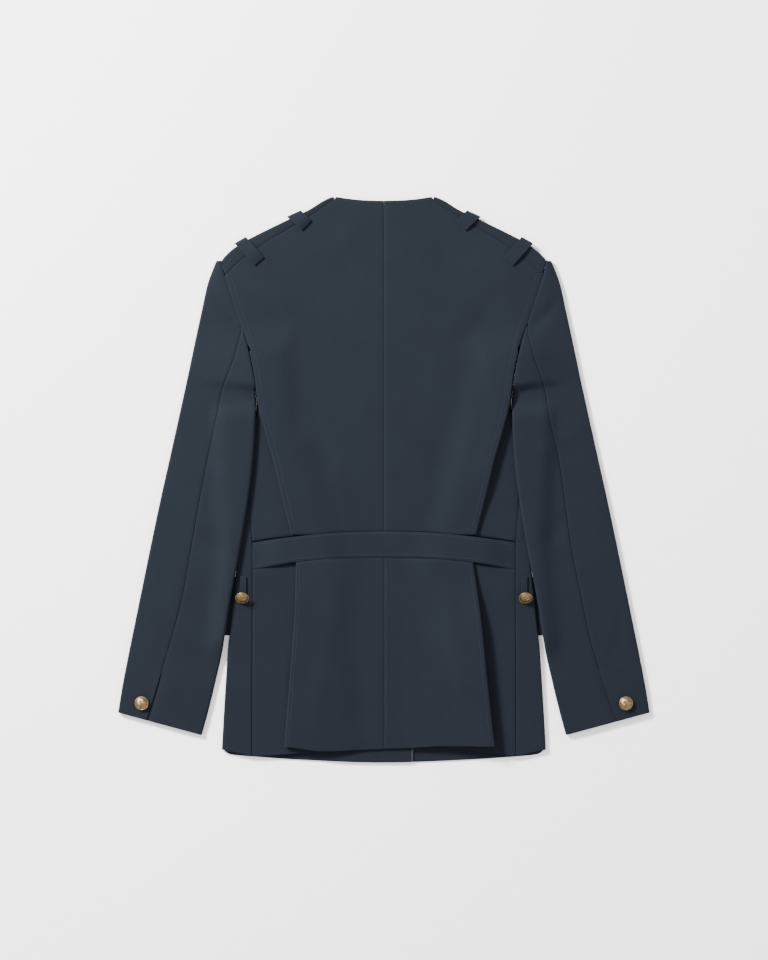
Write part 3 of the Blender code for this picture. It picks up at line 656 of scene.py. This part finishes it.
def sleeve_pieces(side):
    top_grid, under_grid, under_places = [], [], []
    for place in RUNGS:
        rung = spline_rung(place)
        width = max(6.0, (Vector((rung.inner_x, rung.inner_y)) - Vector((rung.outer_x, rung.outer_y))).length)
        share = top_seam(side, place, rung)
        venting = smoothstep((place - VENT_TOP) / 0.25)
        trim = 0.18 / width
        reach = seam_turn(share - (trim if place >= FIRST_UNDER else 0))
        steps = [reach * t for t in eased(22)]
        back = seam_turn(hidden_seam(place) - 0.25 * GAP / width)
        under_steps = [back * t for t in eased(14)[1:]]
        row = []
        for turn in reversed(steps):
            p = sleeve_point(side, place, rung, turn)
            from_seam = (share - (1 - math.cos(turn)) / 2) * width
            if place >= FIRST_UNDER:
                p.z += seam_dip(from_seam) * (1 - venting) + 0.45 * venting * (1 - smoothstep(from_seam / 9))
            elif place < CAP_RUNGS:
                p.z += seam_dip(from_seam)
            row.append(p)
        row += [sleeve_point(side, place, rung, 2 * math.pi - turn) for turn in under_steps]
        top_grid.append(row)
        if place < FIRST_UNDER:
            continue
        lap = VENT_LAP * venting / width
        start = min(seam_turn(share + trim - lap), math.pi - 0.12)
        end = min(seam_turn(hidden_seam(place) + 0.25 * GAP / width), math.pi - 0.12)
        steps = [start + (math.pi - start) * t for t in eased(UNDER_STEPS)]
        row = []
        for turn in steps:
            p = sleeve_point(side, place, rung, turn)
            from_seam = ((1 - math.cos(turn)) / 2 - share) * width
            tucked = 1 - smoothstep((from_seam + 1) / 7)
            p.z += seam_dip(abs(from_seam)) * (1 - venting) - 1.75 * venting * tucked
            if place <= CAP_RUNGS:
                p.z += seam_dip((1 - (1 - math.cos(turn)) / 2) * width)
            row.append(p)
        row += [sleeve_point(side, place, rung, math.pi + (math.pi - end) * t) for t in eased(12)[1:]]
        under_grid.append(row)
        under_places.append(place)
    closed_from = next(k for k, place in enumerate(under_places) if place > CAP_RUNGS + 0.3)
    sewn_panel("wool_top_sleeve_" + hand(side), top_grid, "top_sleeve_" + hand(side))
    sewn_panel("wool_under_sleeve_" + hand(side), under_grid, "under_sleeve_" + hand(side),
               keep=lambda i, j: i < UNDER_STEPS or j >= closed_from)


for side in (-1, 1):
    sleeve_pieces(side)

# The shoulder loops: four short straps of the same wool, sewn flat to the back at one end, that run
# over the shoulder's edge to the front. Such loops are made to hold a shoulder strap.
Strap = namedtuple("Strap", "name foot_x foot_y edge_x edge_y width")
STRAPS = [Strap("inner", 100, 330, 114.5, 343.6, 18), Strap("outer", 161.5, 283, 184.6, 309.0, 16.6)]
STRAP_UNDER = 28.0


def shoulder_loop(side, strap):
    foot, over = Vector((strap.foot_x, strap.foot_y)), Vector((strap.edge_x, strap.edge_y))
    run = (over - foot).normalized()
    cross = Vector((run.y, -run.x))
    across = spaced(8, strap.width)
    grid = []
    for t in across:
        offset = cross * strap.width * (t - 0.5)
        a, b = foot + offset, over + offset
        for step in range(4):
            b = b + run * (shoulder_y(b.x) - b.y)
        height = top_height(side, b.x, b.y - 6) + LAYER + 0.2
        radius = (height - FLOOR) / 2
        centre = b - run * (radius - LAYER - 1.2)
        row = []
        for i in range(17):
            s = i / 16
            p = a.lerp(centre, s)
            arch = 1.3 * math.sin(math.pi * s) - 0.5 * (1 - smoothstep(s * 9))
            stitched = -0.35 * math.exp(-((s - 0.11) / 0.035) ** 2)
            row.append(Vector((side * p.x, p.y, top_height(side, p.x, p.y) + LAYER + 0.2 + arch + stitched)))
        row[-1].z = height
        for k in range(1, 13):
            turn = math.pi * k / 12
            p = centre + run * radius * math.sin(turn)
            row.append(Vector((side * p.x, p.y, FLOOR + radius + radius * math.cos(turn))))
        for i in range(1, 5):
            p = centre - run * STRAP_UNDER * i / 4
            row.append(Vector((side * p.x, p.y, FLOOR)))
        grid.append(row)
    name = "loop_%s_%s" % (strap.name, hand(side))
    sewn_panel("wool_" + name, grid, name)


for side in (-1, 1):
    for strap in STRAPS:
        shoulder_loop(side, strap)

# Topstitching in a slightly lighter navy thread, half sunk in the cloth: along the centre seam and the
# neck, on the waistband's two long edges, inside the armhole seams and down the pleats' folds.
STITCH, STITCH_SPACE, THREAD = 2.3, 3.2, 0.34
FROM_ARMHOLE, FROM_NECK, FROM_FOLD, FROM_CENTRE = 7.5, 3.2, 5.5, 3.4
thread = NAVY.copy()
thread.name = "navy_thread"
for node in thread.node_tree.nodes:
    if node.type == "VALTORGB":
        node.color_ramp.elements[0].color = (0.0110, 0.0128, 0.0200, 1)
        node.color_ramp.elements[1].color = (0.0150, 0.0170, 0.0260, 1)


def topstitch(name, lines):
    """Short stitches along each line of points, which lie on the top of the cloth, in millimetres."""
    shape = bmesh.new()
    for line in lines:
        path = edge(line)
        count = int(path.length / STITCH_SPACE)
        for k in range(count):
            start, end = path((k + 0.14) / count), path((k + 0.14 + STITCH / STITCH_SPACE) / count)
            run = (end - start).normalized()
            cross = run.cross(Vector((0, 0, 1))).normalized()
            rings = []
            for t, r, sink in ((0, 0.2, -0.35), (0.2, 1, 0), (0.8, 1, 0), (1, 0.2, -0.35)):
                middle = start.lerp(end, t) + Vector((0, 0, sink))
                rings.append([shape.verts.new((middle + cross * THREAD * r * math.cos(a)
                                               + Vector((0, 0, THREAD * r * math.sin(a)))) * MM)
                              for a in (math.pi * m / 3 for m in range(6))])
            for low, high in zip(rings, rings[1:]):
                for m in range(6):
                    shape.faces.new((low[m], low[(m + 1) % 6], high[(m + 1) % 6], high[m]))
            shape.faces.new(list(reversed(rings[0])))
            shape.faces.new(rings[-1])
    bmesh.ops.recalc_face_normals(shape, faces=shape.faces)
    for face in shape.faces:
        face.smooth = True
    mesh = bpy.data.meshes.new(name)
    shape.to_mesh(mesh)
    shape.free()
    mesh.materials.append(thread)
    piece = bpy.data.objects.new(name, mesh)
    bpy.context.scene.collection.objects.link(piece)
    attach(piece, "root")


def on_back(side, out, y):
    z = top_height(side, out, y) + creased(BACK_CREASES, side * out, y) + CLOTH / 2 + 0.02
    return Vector((side * out, y, z))


def on_skirt(side, out, y):
    z = skirt_height(side, out, y) + creased(SKIRT_CREASES, side * out, y) + CLOTH / 2 + 0.02
    return Vector((side * out, y, z))


for side in (-1, 1):
    inside = [on_back(side, out_at(ARMHOLE, y) - FROM_ARMHOLE, y) for y in range(262, -66, -12)]
    neck = [on_back(side, p.out, p.y - FROM_NECK) for p in BACK_NECK]
    topstitch("stitching_back_" + hand(side), [inside, neck])
    fold = [on_skirt(side, out_at(SKIRT_FOLD[side], y) - FROM_FOLD, y) for y in range(-110, -344, -12)]
    topstitch("stitching_skirt_" + hand(side), [fold])
topstitch("stitching_centre", [[on_back(1, FROM_CENTRE, y) for y in range(358, -64, -12)],
                               [on_skirt(1, FROM_CENTRE, y) for y in range(-106, -346, -12)]])
for name, share in (("upper", 0.10), ("lower", 0.88)):
    line = []
    for k in range(-20, 21):
        t = abs(k) / 20 * 0.985
        p = head(t).lerp(foot(t), share)
        line.append(Vector((math.copysign(p.x, k), p.y, band_height(p.x) + 0.17 + CLOTH / 2)))
    topstitch("stitching_band_" + name, [line])

# The pocket flaps and the tabs beside them: plain wool pieces on the fronts. The flaps lie between
# the fronts and the table, and only their corners show past the sides.
FLAP_TOP, FLAP_FOOT = -127.0, -203.0
FLAP_INNER, FLAP_OUTER_TOP, FLAP_OUTER_FOOT = 96.0, 200.0, 213.0
TAB_X, TAB_TOP, TAB_FOOT, TAB_WIDTH = 182.7, -126.0, -152.0, 8.0
for side in (-1, 1):
    grid = []
    for v in spaced(18, 76):
        y = FLAP_FOOT + (FLAP_TOP - FLAP_FOOT) * v
        corner = 5.0 * (1 - smoothstep(v * 76 / 9))
        outer = FLAP_OUTER_FOOT + (FLAP_OUTER_TOP - FLAP_OUTER_FOOT) * v - corner
        grid.append([Vector((side * (FLAP_INNER + (outer - FLAP_INNER) * u), y, FLOOR))
                     for u in spaced(24, 110)])
    sewn_panel("wool_flap_" + hand(side), grid, "flap_" + hand(side))
    grid = [[Vector((side * (TAB_X + TAB_WIDTH * (u - 0.5)), TAB_FOOT + (TAB_TOP - TAB_FOOT) * v,
                     SIDE + LAYER))
             for u in spaced(3, TAB_WIDTH)] for v in spaced(8, TAB_TOP - TAB_FOOT)]
    sewn_panel("wool_button_tab_" + hand(side), grid, "button_tab_" + hand(side))

# The left front's edge: a narrow strip coloured pale blue-grey as a painted highlight, where the edge catches
# the light. It shows as a short line below the back hem.
pale = NAVY.copy()
pale.name = "painted_highlight_edge_strip"
for node in pale.node_tree.nodes:
    if node.type == "VALTORGB":
        # This pale blue-grey is a painted highlight along the left front's edge.
        node.color_ramp.elements[0].color = (0.012, 0.015, 0.021, 1)
        node.color_ramp.elements[1].color = (0.022, 0.026, 0.034, 1)
EDGE_STRIP_WIDTH, EDGE_STRIP_FOOT, EDGE_STRIP_LENGTH = 3.2, -367.4, 597.4
grid = [[Vector((OVERLAP + GAP + EDGE_STRIP_WIDTH * u, EDGE_STRIP_FOOT + EDGE_STRIP_LENGTH * v, FLOOR + LAYER))
         for u in spaced(1, 16, end=False)] for v in spaced(60, 597)]
sewn_panel("edge_strip_with_painted_highlight", grid, "edge_binding", finish=pale)

# The buttons: domed brass with an antique gold finish, on a short shank. The rim is rolled and roped,
# and the dome has a plain lattice in low relief. Two are on the cuffs and two beside the pockets.
SIDE_BUTTON = (184.0, -152.0)
SIDE_BUTTON_TILT = 38.0
CUFF_BUTTON_RUNG, CUFF_BUTTON_SHARE = 13.42, 0.25
BUTTON_PROFILE = [(0.0, 6.5), (1.1, 6.45), (2.3, 6.3), (3.4, 6.0), (4.5, 5.6), (5.5, 5.1), (6.3, 4.55),
                  (6.9, 4.0), (7.25, 3.55), (7.5, 3.3), (7.75, 3.25), (8.0, 3.4), (8.3, 3.55), (8.6, 3.5),
                  (8.85, 3.25), (9.0, 2.85), (8.9, 2.45), (8.6, 2.2), (7.4, 2.0), (2.2, 1.6),
                  (2.2, 0.1), (0.0, 0.1)]


def antique_brass():
    metal = bpy.data.materials.new("antique_gold_brass")
    metal.use_nodes = True
    nodes, links = metal.node_tree.nodes, metal.node_tree.links
    shader = nodes["Principled BSDF"]
    shader.inputs["Metallic"].default_value = 1.0
    place = nodes.new("ShaderNodeTexCoord")
    patina = nodes.new("ShaderNodeTexNoise")
    patina.inputs["Scale"].default_value = 420
    patina.inputs["Detail"].default_value = 6
    worn = nodes.new("ShaderNodeNewGeometry")
    mix = nodes.new("ShaderNodeMath")
    mix.operation = "MULTIPLY_ADD"
    mix.inputs[1].default_value = 1.5
    colour = nodes.new("ShaderNodeValToRGB")
    colour.color_ramp.elements[0].position = 0.55
    colour.color_ramp.elements[0].color = (0.020, 0.012, 0.006, 1)
    colour.color_ramp.elements[1].position = 0.86
    colour.color_ramp.elements[1].color = (0.205, 0.140, 0.066, 1)
    scale = nodes.new("ShaderNodeMath")
    scale.operation = "MULTIPLY"
    scale.inputs[1].default_value = 0.62
    rough = nodes.new("ShaderNodeMapRange")
    rough.inputs["To Min"].default_value = 0.55
    rough.inputs["To Max"].default_value = 0.28
    links.new(place.outputs["Object"], patina.inputs["Vector"])
    links.new(worn.outputs["Pointiness"], mix.inputs[0])
    links.new(patina.outputs["Fac"], mix.inputs[2])
    links.new(mix.outputs["Value"], scale.inputs[0])
    links.new(scale.outputs["Value"], colour.inputs["Fac"])
    links.new(colour.outputs["Color"], shader.inputs["Base Color"])
    links.new(patina.outputs["Fac"], rough.inputs["Value"])
    links.new(rough.outputs["Result"], shader.inputs["Roughness"])
    return metal


BRASS = antique_brass()


def brass_button(name, node, seat, tilt):
    shape = bmesh.new()
    around = 96
    rings = []
    for r, z in BUTTON_PROFILE:
        ring = []
        for k in range(around):
            a = 2 * math.pi * k / around
            lattice = math.cos(12 * a + r * 1.4) * math.cos(12 * a - r * 1.4)
            relief = 0.22 * lattice * smoothstep((r - 0.6) / 1.5) * smoothstep((6.6 - r) / 1.0)
            rope = 0.16 * math.cos(32 * a) * (1.0 if 8.0 <= r <= 8.9 and z > 3 else 0.0)
            ring.append(shape.verts.new(Vector((r * math.cos(a), r * math.sin(a), z + relief + rope)) * MM)
                        if r > 0 else None)
        rings.append(ring if r > 0 else shape.verts.new((0, 0, z * MM)))
    for upper, lower in zip(rings, rings[1:]):
        for k in range(around):
            m = (k + 1) % around
            if not isinstance(upper, list):
                shape.faces.new((upper, lower[k], lower[m]))
            elif not isinstance(lower, list):
                shape.faces.new((upper[m], upper[k], lower))
            else:
                shape.faces.new((upper[k], lower[k], lower[m], upper[m]))
    bmesh.ops.recalc_face_normals(shape, faces=shape.faces)
    for face in shape.faces:
        face.smooth = True
    mesh = bpy.data.meshes.new(name)
    shape.to_mesh(mesh)
    shape.free()
    mesh.materials.append(BRASS)
    button = bpy.data.objects.new(name, mesh)
    button.location = Vector(seat) * MM
    button.rotation_euler = (math.radians(tilt), 0, 0)
    bpy.context.scene.collection.objects.link(button)
    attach(button, "root")
    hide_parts(node)


for side in (-1, 1):
    x, y = SIDE_BUTTON
    lean = 2.2 * math.sin(math.radians(SIDE_BUTTON_TILT))
    brass_button("brass_side_" + hand(side), "button_side_" + hand(side),
                 (side * x, y, SIDE + LAYER + WALL / 2 + 2 * GAP + lean), SIDE_BUTTON_TILT)
    cuff = sleeve_point(side, CUFF_BUTTON_RUNG, spline_rung(CUFF_BUTTON_RUNG), seam_turn(CUFF_BUTTON_SHARE))
    brass_button("brass_cuff_" + hand(side), "button_cuff_" + hand(side),
                 cuff + Vector((0, 0, WALL / 2 + GAP)), 0)
